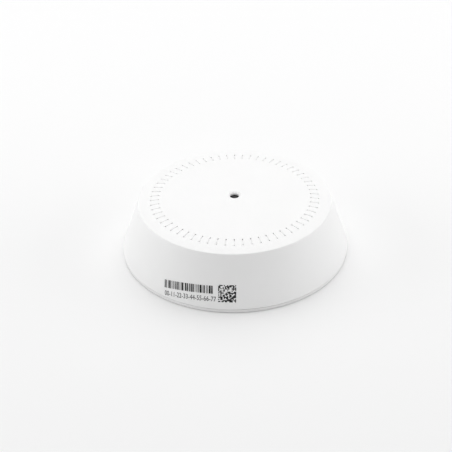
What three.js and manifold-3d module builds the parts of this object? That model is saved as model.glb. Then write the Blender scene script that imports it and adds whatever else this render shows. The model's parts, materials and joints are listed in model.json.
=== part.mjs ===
// Ceiling access point: a white drum that twists onto a ceiling bracket.
// Millimetres. Z = 0 is the ceiling side of the bracket, +Z points into the room, and the axis of
// the drum is X = Y = 0. The socket looks towards -X, inside a pocket that opens at the ceiling side.
import * as THREE from 'three';
import { mergeVertices } from 'three/addons/utils/BufferGeometryUtils.js';
import Module from 'manifold-3d';

const wasm = await Module();
wasm.setup();

// Clearances and cuts
const pieceGap = 0.3;
const slideGap = 0.5;
const cutOverrun = 1;
const mergeTolerance = 0.00001;

// Facets
const discSides = 40;
const holeSides = 10;
const screwSides = 8;
const arcSides = 4;
const ventHoleSides = 6;
const roundSteps = 2;
const domeSteps = 4;

// The drum's outside
const overallHeight = 42;
const baseRadius = 80;
const wallRun = 12.7;
const domeDrop = 3.4;
const domePower = 3.5;
const rimRound = 0.8;
const skirtRound = 0.5;

// Cover shell
const coverWall = 2.2;
const gussetCount = 20;
const gussetThickness = 1.2;
const gussetReach = 5;
const gussetDrop = 7;

// Vent ring: short shallow grooves, each with a small through hole at both ends
const ventCount = 62;
const ventPhaseDegrees = -90.7;
const ventRingInset = 8.8;
const ventGrooveLength = 5.4;
const ventHoleDiameter = 1.1;
const ventGrooveWidth = 0.6;
const ventGrooveDepth = 0.45;

// Status window and its light pipe
const windowHoleRadius = 3.2;
const windowFlareRadius = 4.7;
const windowFlareDepth = 0.9;
const windowRecess = 2.1;
const pipeFootRadius = 2.2;
const pipeFlangeRadius = 4.6;
const pipeFlangeHeight = 1.2;
const collarWall = 1.3;
const collarHeight = 4;

// Base tray
const ceilingGap = 0.2;
const flangeInset = 0.45;
const flangeThickness = 2.2;
const flangeChamfer = 0.2;
const trayWall = 2.2;
const locatingRimHeight = 5;
const locatingRimWall = 1.6;
const trayRibCount = 8;
const trayRibThickness = 1.6;
const trayRibHeight = 4;
const trayRibInnerRadius = 37.5;

// Ceiling bracket and its bayonet
const bracketThickness = 2.4;
const bracketPlay = 0.6;
const bracketHoleRadius = 26;
const lugCount = 4;
const twistDegrees = 20;
const lugInset = 5.5;
const lugSpanDegrees = 10;
const lugSlackDegrees = 0.8;
const lugStemThickness = 3;
const lugHeadThickness = 7;
const lugHeadHeight = 2;
const fixingSlotInset = 8;
const fixingSlotSpanDegrees = 26;
const fixingSlotWidth = 4.6;
const fixingHeadWidth = 8.4;
const fixingHeadDepth = 1.3;
const fingerInset = 5;
const fingerAngleDegrees = 78;
const fingerWidth = 4;
const fingerSpanDegrees = 22;
const fingerSlit = 1.1;
const fingerBumpHeight = 0.3;
const fingerBumpSpanDegrees = 3;

// Port pocket
const pocketLength = 42;
const pocketWidth = 28;
const pocketCentreX = -9;
const pocketWall = 1.6;
const pocketBoardGap = 0.5;
const pocketCornerRadius = 3;

// Main board
const boardThickness = 1.6;
const boardSideGap = 2.9;
const postInset = 6;
const postRadius = 3.5;
const postFloor = 2;

// Screws
const screwShankRadius = 1.45;
const screwHeadRadius = 2.8;
const screwHeadHeight = 2;
const screwHeadCrown = 0.6;
const screwCount = 4;
const boardScrewLength = 18;
const coverScrewLength = 12;
const coverScrewInset = 2.8;
const coverBossRadius = 3.6;
const trayBossRadius = 5;
const trayBossSpacing = 0.3;
const trayBossHeight = 6;
const counterboreDepth = 3.4;

// Ethernet jack, hung under the board
const jackWidth = 16;
const jackLength = 18;
const jackHeight = 13.4;
const jackFloorGap = 0.7;
const socketWidth = 11.9;
const socketHeight = 6.9;
const socketDepth = 13;
const socketBelowTop = 3.2;
const latchSlotWidth = 6.5;
const latchSlotHeight = 1.8;
const latchKeyWidth = 3.6;
const latchKeyHeight = 0.9;
const contactCount = 8;
const contactPitch = 1.02;
const contactThickness = 0.45;
const contactLength = 8;
const contactBarHeight = 1.4;
const contactBarDepth = 2;
const contactDrop = 1.5;

// Reset button and its switch
const resetX = -18;
const resetDrop = 3.6;
const resetRadius = 1.6;
const resetTravel = 0.6;
const resetProud = 1.2;
const resetFlangeRadius = 2.8;
const resetFlangeThickness = 1;
const resetTip = 1.2;
const switchWidth = 6;
const switchThickness = 3.6;
const switchHeight = 6;
const switchStemRadius = 1.2;
const switchLegWidth = 0.8;

// Parts on the room side of the board
const chipSize = 19;
const chipThickness = 1.6;
const chipX = -20;
const padThickness = 0.8;
const shieldLength = 24;
const shieldWidth = 20;
const shieldHeight = 2.6;
const shieldWall = 0.4;
const shieldInset = 12;
const shieldY = 13;
const ledSize = 3.4;
const ledHeight = 1.1;

// Parts on the ceiling side of the board, in a row beside the pocket and the jack
const partSpacing = 0.6;
const rowSpacing = 4.9;
const transformerLength = 17;
const transformerWidth = 15;
const transformerHeight = 11;
const transformerCoreHeight = 5;
const transformerBobbinInset = 2.4;
const transformerX = 2;
const inductorSize = 12;
const inductorHeight = 6;
const inductorCorner = 2.4;
const capacitorCount = 2;
const capacitorRadius = 4;
const capacitorHeight = 10;
const capacitorCrimp = 0.4;
const capacitorPitch = 10.5;
const magneticsLength = 16;
const magneticsWidth = 13;
const magneticsHeight = 6;
const magneticsSpacing = 2;

// Heat spreader
const spreaderInset = 8;
const spreaderThickness = 2;
const spreaderGap = 3.3;
const spreaderEarRadius = 6;
const spreaderHoleRadius = 6;
const finCount = 24;
const finThickness = 1.5;
const finLidGap = 3;
const finInnerRadius = 24;
const finInset = 2;

// Antennas
const antennaCount = 4;
const antennaInset = 5;
const antennaLidGap = 4.4;
const antennaLength = 30;
const antennaSheet = 0.6;
const antennaLip = 6;
const antennaFootWidth = 3;
const antennaFootHeight = 2.4;
const antennaSlotHeight = 1.6;
const antennaSlotShare = 0.62;
const antennaFootShare = 0.3;

// Counts, heights and radii that follow: the drum has one facet for each vent mark.
const drumSides = ventCount;
const degree = Math.PI / 180;
const trayUnderside = ceilingGap;
const flangeTop = trayUnderside + flangeThickness;
const coverUnderside = flangeTop + pieceGap;
const faceUnderside = overallHeight - coverWall;
const rimHeight = overallHeight - domeDrop;
const rimRadius = baseRadius - wallRun;
const ventOuterRadius = rimRadius - ventRingInset;
const ventInnerRadius = ventOuterRadius - ventGrooveLength;
const flangeRadius = baseRadius - flangeInset;
const coverScrewCircleRadius = rimRadius - coverScrewInset;
const wellRadius = coverScrewCircleRadius - trayBossRadius - trayBossSpacing - trayWall;
const lugRadius = wellRadius - lugInset;
const fingerRadius = wellRadius - fingerInset;
const fixingSlotRadius = bracketHoleRadius + fixingSlotInset;
const boardRadius = coverScrewCircleRadius - coverBossRadius - boardSideGap;
const postCircleRadius = boardRadius - postInset;
const antennaRadius = boardRadius - antennaInset;
const spreaderRadius = postCircleRadius - spreaderInset;
const finOuterRadius = spreaderRadius - finInset;
const shieldX = spreaderRadius - shieldInset - shieldLength / 2;
const wallLean = (baseRadius - rimRadius) / (rimHeight - coverUnderside);
const wallRadialThickness = coverWall * Math.hypot(1, wallLean);
const wellCeiling = bracketThickness + bracketPlay;
const wellTop = wellCeiling + trayWall;
const lugHeadUnderside = wellTop + slideGap;
const boardSeat = wellTop + jackFloorGap + jackHeight;
const boardHeight = boardSeat + pieceGap;
const boardTop = boardHeight + boardThickness;
const pocketCeiling = boardSeat - pocketBoardGap - pocketWall;
const pocketSide = pocketWidth / 2 + pocketWall;
const resetZ = pocketCeiling - resetDrop;
const partSeat = boardTop + pieceGap;
const spreaderUnderside = boardTop + spreaderGap;
const spreaderTop = spreaderUnderside + spreaderThickness;
const finTop = faceUnderside - finLidGap;
const antennaHeight = faceUnderside - antennaLidGap - partSeat;
const screwHoleRadius = screwShankRadius + pieceGap;
const trayBossTop = trayUnderside + trayBossHeight;
const coverBossUnderside = trayBossTop + pieceGap;
const counterboreTop = trayUnderside + counterboreDepth;
const pocketMouthX = pocketCentreX + pocketLength / 2;
const jackFaceX = pocketMouthX + pocketWall + pieceGap;
const socketTop = boardSeat - socketBelowTop;
const socketBottom = socketTop - socketHeight;

function wallRadiusAt(z) {
  return baseRadius - (z - coverUnderside) * wallLean;
}

function innerWallRadiusAt(z) {
  return wallRadiusAt(z) - wallRadialThickness;
}

// The face is a shallow dome that steepens towards the rim.
function domeHeightAt(radius) {
  return overallHeight - domeDrop * (radius / rimRadius) ** domePower;
}

function domeUndersideAt(radius) {
  return domeHeightAt(radius) - coverWall;
}

// Solids

function toSolid(geometry) {
  geometry.deleteAttribute('normal');
  geometry.deleteAttribute('uv');
  const merged = mergeVertices(geometry, mergeTolerance);
  return new wasm.Manifold(new wasm.Mesh({
    numProp: 3,
    vertProperties: new Float32Array(merged.attributes.position.array),
    triVerts: new Uint32Array(merged.index.array),
  }));
}

function toGeometry(solid) {
  const mesh = solid.getMesh();
  const geometry = new THREE.BufferGeometry();
  geometry.setAttribute('position', new THREE.BufferAttribute(new Float32Array(mesh.vertProperties), 3));
  geometry.setIndex(new THREE.BufferAttribute(new Uint32Array(mesh.triVerts), 1));
  geometry.computeVertexNormals();
  return geometry;
}

function joined(first, ...others) {
  return others.reduce((sum, other) => sum.add(other), first);
}

function cutBy(first, ...tools) {
  return tools.reduce((rest, tool) => rest.subtract(tool), first);
}

// A closed outline of [x, y, round] corners, with the rounded ones drawn as arcs.
function roundedOutline(corners) {
  const points = [];
  corners.forEach(([x, y, round = 0], index) => {
    const corner = new THREE.Vector2(x, y);
    if (round === 0) {
      points.push(corner);
      return;
    }
    const [beforeX, beforeY] = corners[(index + corners.length - 1) % corners.length];
    const [afterX, afterY] = corners[(index + 1) % corners.length];
    const back = new THREE.Vector2(beforeX, beforeY).sub(corner).normalize();
    const ahead = new THREE.Vector2(afterX, afterY).sub(corner).normalize();
    const half = Math.acos(back.dot(ahead)) / 2;
    const centre = back.clone().add(ahead).normalize().multiplyScalar(round / Math.sin(half)).add(corner);
    const start = back.clone().multiplyScalar(round / Math.tan(half)).add(corner).sub(centre);
    const turn = (Math.PI - 2 * half) * Math.sign(back.cross(ahead)) * -1;
    for (let step = 0; step <= roundSteps; step += 1) {
      points.push(start.clone().rotateAround(new THREE.Vector2(), (turn * step) / roundSteps).add(centre));
    }
  });
  return points;
}

// A body of revolution from its half section, given counter-clockwise as [radius, height, round].
function revolved(corners, sides = drumSides) {
  const points = roundedOutline(corners);
  const closed = [...points, points[0].clone()];
  const geometry = new THREE.LatheGeometry(closed, sides);
  geometry.rotateX(Math.PI / 2);
  return toSolid(geometry);
}

// An arc in a shape is drawn with twice its curveSegments.
function extrudedShape(shape, bottom, height, sides = holeSides) {
  const options = { depth: height, bevelEnabled: false, curveSegments: Math.ceil(sides / 2) };
  const geometry = new THREE.ExtrudeGeometry(shape, options);
  geometry.translate(0, 0, bottom);
  return geometry;
}

function extruded(shape, bottom, height, sides) {
  return toSolid(extrudedShape(shape, bottom, height, sides));
}

function circleShape(x, y, radius) {
  const shape = new THREE.Shape();
  shape.absarc(x, y, radius, 0, 2 * Math.PI, false);
  return shape;
}

function upright(x, y, radius, bottom, height, sides = holeSides) {
  return extruded(circleShape(x, y, radius), bottom, height, sides);
}

function block(lowX, highX, lowY, highY, lowZ, highZ) {
  const geometry = new THREE.BoxGeometry(highX - lowX, highY - lowY, highZ - lowZ);
  geometry.translate((lowX + highX) / 2, (lowY + highY) / 2, (lowZ + highZ) / 2);
  return toSolid(geometry);
}

function blockAt(x, y, width, depth, lowZ, highZ) {
  return block(x - width / 2, x + width / 2, y - depth / 2, y + depth / 2, lowZ, highZ);
}

function roundedRectangle(lowX, highX, lowY, highY, round) {
  return new THREE.Shape(roundedOutline([
    [lowX, lowY, round],
    [highX, lowY, round],
    [highX, highY, round],
    [lowX, highY, round],
  ]));
}

// A band of a ring, between two angles, with square ends.
function arcShape(middleRadius, width, centreAngle, span) {
  const shape = new THREE.Shape();
  const start = centreAngle - span / 2;
  const end = centreAngle + span / 2;
  shape.absarc(0, 0, middleRadius + width / 2, start, end, false);
  shape.absarc(0, 0, middleRadius - width / 2, end, start, true);
  shape.closePath();
  return shape;
}

function polar(radius, angle) {
  return [radius * Math.cos(angle), radius * Math.sin(angle)];
}

// Angles of a ring of copies that starts half a step off the X axis.
function diagonalAngles(count) {
  return Array.from({ length: count }, (_, index) => ((index + 0.5) * 2 * Math.PI) / count);
}

// A box that runs outwards from the axis, turned to an angle.
function radialBlock(angle, innerRadius, outerRadius, thickness, lowZ, highZ) {
  const length = outerRadius - innerRadius;
  const geometry = new THREE.BoxGeometry(length, thickness, highZ - lowZ);
  geometry.translate(innerRadius + length / 2, 0, (lowZ + highZ) / 2);
  geometry.rotateZ(angle);
  return toSolid(geometry);
}

// A plate that stands on the radius at an angle, drawn as [radius, height].
function radialPlate(angle, thickness, corners) {
  const shape = new THREE.Shape(corners.map(([radius, height]) => new THREE.Vector2(radius, height)));
  const geometry = extrudedShape(shape, -thickness / 2, thickness);
  geometry.rotateX(Math.PI / 2);
  geometry.rotateZ(angle);
  return toSolid(geometry);
}

// Cover

// Radii of the dome's facets from the rim inwards, closer together where it is steeper.
function domeRadii(outerRadius) {
  return Array.from({ length: domeSteps }, (_, index) => (
    outerRadius * Math.cos((index * Math.PI) / (2 * domeSteps))
  ));
}

function coverShell() {
  const innerRim = rimHeight - coverWall;
  const [, ...outside] = domeRadii(rimRadius);
  const [, ...inside] = domeRadii(innerWallRadiusAt(innerRim));
  return revolved([
    [innerWallRadiusAt(coverUnderside), coverUnderside],
    [wallRadiusAt(coverUnderside), coverUnderside, skirtRound],
    [rimRadius, rimHeight, rimRound],
    ...outside.map((radius) => [radius, domeHeightAt(radius)]),
    [0, overallHeight],
    [0, faceUnderside],
    ...inside.reverse().map((radius) => [radius, domeUndersideAt(radius)]),
    [innerWallRadiusAt(innerRim), innerRim],
  ]);
}

// The window hole, with its flare carried on past the face.
function windowHole() {
  const flare = (windowFlareRadius - windowHoleRadius) / windowFlareDepth;
  return revolved([
    [0, faceUnderside - cutOverrun],
    [windowHoleRadius, faceUnderside - cutOverrun],
    [windowHoleRadius, overallHeight - windowFlareDepth],
    [windowFlareRadius + flare * cutOverrun, overallHeight + cutOverrun],
    [0, overallHeight + cutOverrun],
  ], holeSides * 2);
}

// Everything inside the cover's outer skin, to trim the ribs and bosses that run into it.
function coverEnvelope() {
  const innerRim = rimHeight - coverWall;
  const [, ...inside] = domeRadii(innerWallRadiusAt(innerRim));
  return revolved([
    [0, coverUnderside],
    [innerWallRadiusAt(coverUnderside) + coverWall / 2, coverUnderside],
    [innerWallRadiusAt(innerRim) + coverWall / 2, innerRim],
    ...inside.map((radius) => [radius, domeUndersideAt(radius) + coverWall / 2]),
    [0, faceUnderside + coverWall / 2],
  ]);
}

function coverBosses() {
  return diagonalAngles(screwCount).map((angle) => {
    const [x, y] = polar(coverScrewCircleRadius, angle);
    return upright(x, y, coverBossRadius, coverBossUnderside, overallHeight - coverBossUnderside);
  });
}

function coverScrewHoles() {
  const top = trayUnderside + counterboreDepth + coverScrewLength + cutOverrun;
  return diagonalAngles(screwCount).map((angle) => {
    const [x, y] = polar(coverScrewCircleRadius, angle);
    return upright(x, y, screwHoleRadius, trayUnderside, top - trayUnderside);
  });
}

// A three-cornered rib across the corner between the wall and the face.
function gusset(angle) {
  const innerRim = rimHeight - coverWall;
  const innerRadius = innerWallRadiusAt(innerRim) - gussetReach;
  const wallZ = innerRim - gussetDrop;
  return radialPlate(angle, gussetThickness, [
    [innerRadius, overallHeight],
    [innerRadius, domeUndersideAt(innerRadius)],
    [innerWallRadiusAt(wallZ), wallZ],
    [wallRadiusAt(wallZ), wallZ],
    [wallRadiusAt(wallZ), overallHeight],
  ]);
}

function gussets() {
  return diagonalAngles(gussetCount).map(gusset);
}

function collar() {
  const innerRadius = pipeFlangeRadius + pieceGap;
  return revolved([
    [innerRadius, faceUnderside - collarHeight],
    [innerRadius + collarWall, faceUnderside - collarHeight],
    [innerRadius + collarWall, faceUnderside + coverWall / 2],
    [innerRadius, faceUnderside + coverWall / 2],
  ], holeSides * 2);
}

function ventAngles() {
  const start = ventPhaseDegrees * degree;
  return Array.from({ length: ventCount }, (_, index) => start + (index * 2 * Math.PI) / ventCount);
}

function ventHole(angle, radius) {
  const [x, y] = polar(radius, angle);
  const bottom = domeUndersideAt(radius) - cutOverrun;
  return upright(x, y, ventHoleDiameter / 2, bottom, overallHeight + cutOverrun - bottom, ventHoleSides);
}

function ventCutters() {
  const top = overallHeight + cutOverrun;
  return ventAngles().map((angle) => joined(
    radialPlate(angle, ventGrooveWidth, [
      [ventInnerRadius, top],
      [ventInnerRadius, domeHeightAt(ventInnerRadius) - ventGrooveDepth],
      [ventOuterRadius, domeHeightAt(ventOuterRadius) - ventGrooveDepth],
      [ventOuterRadius, top],
    ]),
    ventHole(angle, ventInnerRadius),
    ventHole(angle, ventOuterRadius),
  ));
}

function topCover() {
  const inside = joined(...coverBosses(), ...gussets());
  const shell = joined(coverShell(), inside.intersect(coverEnvelope()), collar());
  return cutBy(shell, windowHole(), ...coverScrewHoles(), ...ventCutters());
}

// Base tray

function trayBody() {
  const rimTop = flangeTop + locatingRimHeight;
  const rimOuter = innerWallRadiusAt(rimTop) - pieceGap;
  return revolved([
    [0, wellCeiling],
    [wellRadius, wellCeiling],
    [wellRadius, trayUnderside],
    [flangeRadius - flangeChamfer, trayUnderside],
    [flangeRadius, trayUnderside + flangeChamfer],
    [flangeRadius, flangeTop],
    [rimOuter, flangeTop],
    [rimOuter, rimTop],
    [rimOuter - locatingRimWall, rimTop],
    [rimOuter - locatingRimWall, flangeTop],
    [wellRadius + trayWall, flangeTop],
    [wellRadius + trayWall, wellTop],
    [0, wellTop],
  ]);
}

function pocketShape(grow) {
  return roundedRectangle(
    pocketCentreX - pocketLength / 2 - grow,
    pocketMouthX + grow,
    -pocketWidth / 2 - grow,
    pocketWidth / 2 + grow,
    pocketCornerRadius + grow,
  );
}

function pocketBox() {
  return extruded(pocketShape(pocketWall), wellCeiling, pocketCeiling + pocketWall - wellCeiling);
}

function pocketHollow() {
  return extruded(pocketShape(0), -cutOverrun, pocketCeiling + cutOverrun);
}

function jackWindow() {
  const bottom = socketBottom - latchSlotHeight - latchKeyHeight - slideGap;
  const width = socketWidth + 2 * slideGap;
  return block(
    pocketMouthX - cutOverrun,
    pocketMouthX + pocketWall + cutOverrun,
    -width / 2,
    width / 2,
    bottom,
    socketTop + slideGap,
  );
}

function resetHole() {
  return alongY(resetRadius + pieceGap, pocketWidth / 2 - cutOverrun, pocketSide + cutOverrun);
}

// A rod along Y at the reset button's place.
function alongY(radius, lowY, highY) {
  const geometry = new THREE.CylinderGeometry(radius, radius, highY - lowY, holeSides);
  geometry.translate(resetX, (lowY + highY) / 2, resetZ);
  return toSolid(geometry);
}

function lugSlots() {
  const height = trayWall + 2 * cutOverrun;
  const bottom = wellCeiling - cutOverrun;
  const reach = (lugSpanDegrees + 2 * lugSlackDegrees) * degree;
  return Array.from({ length: lugCount }, (_, index) => {
    const angle = (index * 2 * Math.PI) / lugCount;
    const released = angle - (twistDegrees * degree) / 2;
    const track = arcShape(lugRadius, lugStemThickness + 2 * slideGap, angle, reach + twistDegrees * degree);
    const entry = arcShape(lugRadius, lugHeadThickness + 2 * slideGap, released, reach);
    return joined(extruded(track, bottom, height, arcSides), extruded(entry, bottom, height, arcSides));
  });
}

function trayRibs() {
  return diagonalAngles(trayRibCount).map((angle) => radialBlock(
    angle,
    trayRibInnerRadius,
    wellRadius + trayWall / 2,
    trayRibThickness,
    wellTop - trayWall / 2,
    wellTop + trayRibHeight,
  ));
}

function boardPosts() {
  return diagonalAngles(screwCount).map((angle) => {
    const [x, y] = polar(postCircleRadius, angle);
    return upright(x, y, postRadius, wellTop - trayWall / 2, boardSeat - wellTop + trayWall / 2);
  });
}

function postHoles() {
  const bottom = wellTop + postFloor;
  return diagonalAngles(screwCount).map((angle) => {
    const [x, y] = polar(postCircleRadius, angle);
    return upright(x, y, screwHoleRadius, bottom, boardSeat + cutOverrun - bottom);
  });
}

function trayBosses() {
  return diagonalAngles(screwCount).map((angle) => {
    const [x, y] = polar(coverScrewCircleRadius, angle);
    return upright(x, y, trayBossRadius, trayUnderside, trayBossHeight);
  });
}

function trayScrewHoles() {
  return diagonalAngles(screwCount).map((angle) => {
    const [x, y] = polar(coverScrewCircleRadius, angle);
    const low = trayUnderside - cutOverrun;
    return joined(
      upright(x, y, screwHoleRadius, low, trayBossTop + cutOverrun - low),
      upright(x, y, screwHeadRadius + pieceGap, low, counterboreTop - low),
    );
  });
}

function baseTray() {
  const solid = joined(trayBody(), pocketBox(), ...trayRibs(), ...boardPosts(), ...trayBosses());
  return cutBy(
    solid,
    pocketHollow(),
    jackWindow(),
    resetHole(),
    ...lugSlots(),
    ...postHoles(),
    ...trayScrewHoles(),
  );
}

// Ceiling bracket

function bracketLug(index) {
  const angle = (index * 2 * Math.PI) / lugCount + (twistDegrees * degree) / 2;
  const span = lugSpanDegrees * degree;
  const stem = arcShape(lugRadius, lugStemThickness, angle, span);
  const head = arcShape(lugRadius, lugHeadThickness, angle, span);
  const stemBottom = bracketThickness / 2;
  return joined(
    extruded(stem, stemBottom, lugHeadUnderside + lugHeadHeight / 2 - stemBottom, arcSides),
    extruded(head, lugHeadUnderside, lugHeadHeight, arcSides),
  );
}

function fixingSlots() {
  const span = fixingSlotSpanDegrees * degree;
  const headSpan = span + (fixingHeadWidth - fixingSlotWidth) / fixingSlotRadius;
  return diagonalAngles(lugCount).map((angle) => {
    const slot = arcShape(fixingSlotRadius, fixingSlotWidth, angle, span);
    const head = arcShape(fixingSlotRadius, fixingHeadWidth, angle, headSpan);
    return joined(
      extruded(slot, -cutOverrun, bracketThickness + 2 * cutOverrun, arcSides),
      extruded(head, bracketThickness - fixingHeadDepth, fixingHeadDepth + cutOverrun, arcSides),
    );
  });
}

// The springy tongue that clicks under the tray: a slit round three of its sides.
function fingerSlits(angle) {
  const height = bracketThickness + 2 * cutOverrun;
  const span = fingerSpanDegrees * degree;
  const inner = arcShape(fingerRadius - (fingerWidth + fingerSlit) / 2, fingerSlit, angle, span);
  const outer = arcShape(fingerRadius + (fingerWidth + fingerSlit) / 2, fingerSlit, angle, span);
  const tip = arcShape(
    fingerRadius,
    fingerWidth + 2 * fingerSlit,
    angle + span / 2,
    (2 * fingerSlit) / fingerRadius,
  );
  return joined(
    extruded(inner, -cutOverrun, height, arcSides),
    extruded(outer, -cutOverrun, height, arcSides),
    extruded(tip, -cutOverrun, height, arcSides),
  );
}

function fingerBump(angle) {
  const span = fingerBumpSpanDegrees * degree;
  const centre = angle + (fingerSpanDegrees * degree) / 2 - span;
  const shape = arcShape(fingerRadius, fingerWidth, centre, span);
  return extruded(shape, bracketThickness / 2, bracketThickness / 2 + fingerBumpHeight, arcSides / 2);
}

function ceilingBracket() {
  const plate = circleShape(0, 0, wellRadius - slideGap);
  const lugs = Array.from({ length: lugCount }, (_, index) => bracketLug(index));
  const fingers = [fingerAngleDegrees * degree, fingerAngleDegrees * degree + Math.PI];
  const solid = joined(extruded(plate, 0, bracketThickness, drumSides), ...lugs, ...fingers.map(fingerBump));
  return cutBy(
    solid,
    upright(0, 0, bracketHoleRadius, -cutOverrun, bracketThickness + 2 * cutOverrun, discSides),
    ...fixingSlots(),
    ...fingers.map(fingerSlits),
  );
}

// Board and what sits on it

function mainBoard() {
  const holes = diagonalAngles(screwCount).map((angle) => {
    const [x, y] = polar(postCircleRadius, angle);
    return upright(x, y, screwHoleRadius, boardHeight - cutOverrun, boardThickness + 2 * cutOverrun);
  });
  return cutBy(upright(0, 0, boardRadius, boardHeight, boardThickness, drumSides), ...holes);
}

function processorChip() {
  return blockAt(chipX, 0, chipSize, chipSize, partSeat, partSeat + chipThickness);
}

function thermalPad() {
  const top = spreaderUnderside - pieceGap;
  return blockAt(chipX, 0, chipSize - pieceGap, chipSize - pieceGap, top - padThickness, top);
}

function shieldCan(side) {
  const y = side * shieldY;
  const top = partSeat + shieldHeight;
  const hollow = 2 * shieldWall;
  return cutBy(
    blockAt(shieldX, y, shieldLength, shieldWidth, partSeat, top),
    blockAt(shieldX, y, shieldLength - hollow, shieldWidth - hollow, partSeat - cutOverrun, top - shieldWall),
  );
}

function statusLed() {
  return blockAt(0, 0, ledSize, ledSize, partSeat, partSeat + ledHeight);
}

function lightPipe() {
  const bottom = partSeat + ledHeight + pieceGap;
  const flangeTopZ = faceUnderside - pieceGap;
  const windowRadius = windowHoleRadius - pieceGap;
  return revolved([
    [0, bottom],
    [pipeFootRadius, bottom],
    [pipeFootRadius, flangeTopZ - pipeFlangeHeight],
    [pipeFlangeRadius, flangeTopZ - pipeFlangeHeight],
    [pipeFlangeRadius, flangeTopZ],
    [windowRadius, flangeTopZ],
    [windowRadius, overallHeight - windowRecess],
    [0, overallHeight - windowRecess],
  ], holeSides * 2);
}

// The middle of a part that stands in the row beside the pocket.
function rowY(width) {
  return -(pocketSide + rowSpacing + width / 2);
}

function poeTransformer() {
  const y = rowY(transformerWidth);
  const bottom = boardSeat - transformerHeight;
  const coreBottom = bottom + (transformerHeight - transformerCoreHeight) / 2;
  const bobbinWidth = transformerWidth - 2 * transformerBobbinInset;
  return joined(
    blockAt(transformerX, y, transformerLength, bobbinWidth, bottom, boardSeat),
    blockAt(
      transformerX,
      y,
      transformerLength - 2 * transformerBobbinInset,
      transformerWidth,
      coreBottom,
      coreBottom + transformerCoreHeight,
    ),
  );
}

function powerInductor() {
  const half = inductorSize / 2;
  const x = transformerX + transformerLength / 2 + partSpacing + half;
  const y = rowY(inductorSize);
  const shape = roundedRectangle(x - half, x + half, y - half, y + half, inductorCorner);
  return extruded(shape, boardSeat - inductorHeight, inductorHeight);
}

function bulkCapacitor() {
  const bottom = boardSeat - capacitorHeight;
  return revolved([
    [0, bottom],
    [capacitorRadius, bottom],
    [capacitorRadius, boardSeat - 4 * capacitorCrimp],
    [capacitorRadius - capacitorCrimp, boardSeat - 3 * capacitorCrimp],
    [capacitorRadius, boardSeat - 2 * capacitorCrimp],
    [capacitorRadius, boardSeat],
    [0, boardSeat],
  ], holeSides);
}

function ethernetMagnetics() {
  const x = jackFaceX + jackLength - magneticsLength / 2;
  const y = jackWidth / 2 + magneticsSpacing + magneticsWidth / 2;
  return blockAt(x, y, magneticsLength, magneticsWidth, boardSeat - magneticsHeight, boardSeat);
}

// Ethernet jack

// A block along X, as wide as given and with its middle at Y = 0.
function lengthwise(lowX, highX, width, lowZ, highZ) {
  return block(lowX, highX, -width / 2, width / 2, lowZ, highZ);
}

function ethernetJack() {
  const front = jackFaceX - cutOverrun;
  const back = jackFaceX + socketDepth;
  const join = socketBottom + cutOverrun;
  const latchBottom = socketBottom - latchSlotHeight;
  const keyBottom = latchBottom - latchKeyHeight;
  return cutBy(
    lengthwise(jackFaceX, jackFaceX + jackLength, jackWidth, boardSeat - jackHeight, boardSeat),
    lengthwise(front, back, socketWidth, socketBottom, socketTop),
    lengthwise(front, back, latchSlotWidth, latchBottom, join),
    lengthwise(front, back, latchKeyWidth, keyBottom, join),
  );
}

// Eight springy contacts that slant down into the socket from a bar at its back.
function jackContacts() {
  const back = jackFaceX + socketDepth - pieceGap;
  const top = socketTop - pieceGap;
  const barWidth = socketWidth - 2 * pieceGap;
  const bar = lengthwise(back - contactBarDepth, back, barWidth, top - contactBarHeight, top);
  const root = back - contactBarDepth / 2;
  const shape = new THREE.Shape([
    new THREE.Vector2(root, top),
    new THREE.Vector2(root - contactLength, top - contactDrop),
    new THREE.Vector2(root - contactLength, top - contactDrop - contactThickness),
    new THREE.Vector2(root, top - contactThickness),
  ]);
  const wires = Array.from({ length: contactCount }, (_, index) => {
    const y = (index - (contactCount - 1) / 2) * contactPitch;
    const geometry = extrudedShape(shape, 0, contactThickness);
    geometry.rotateX(Math.PI / 2);
    geometry.translate(0, y + contactThickness / 2, 0);
    return toSolid(geometry);
  });
  return joined(bar, ...wires);
}

// Reset

function resetButton() {
  const wallInside = pocketWidth / 2;
  const flangeStart = pocketSide + pieceGap;
  const flangeEnd = flangeStart + resetFlangeThickness;
  return joined(
    alongY(resetRadius, wallInside - resetProud, flangeStart + resetFlangeThickness / 2),
    alongY(resetFlangeRadius, flangeStart, flangeEnd),
    alongY(switchStemRadius, flangeEnd - resetFlangeThickness / 2, flangeEnd + resetTip),
  );
}

function resetSwitch() {
  const face = pocketSide + 2 * pieceGap + resetFlangeThickness + resetTravel;
  const bottom = resetZ - switchHeight / 2;
  const top = resetZ + switchHeight / 2;
  const legLow = switchWidth / 2 - switchLegWidth;
  const legs = [-1, 1].map((side) => block(
    resetX + Math.min(side * legLow, (side * switchWidth) / 2),
    resetX + Math.max(side * legLow, (side * switchWidth) / 2),
    face,
    face + switchThickness,
    top - switchLegWidth,
    boardSeat,
  ));
  return cutBy(
    joined(blockAt(resetX, face + switchThickness / 2, switchWidth, switchThickness, bottom, top), ...legs),
    alongY(switchStemRadius + pieceGap, face - cutOverrun, face + resetTip + pieceGap),
  );
}

// Heat spreader

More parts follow.
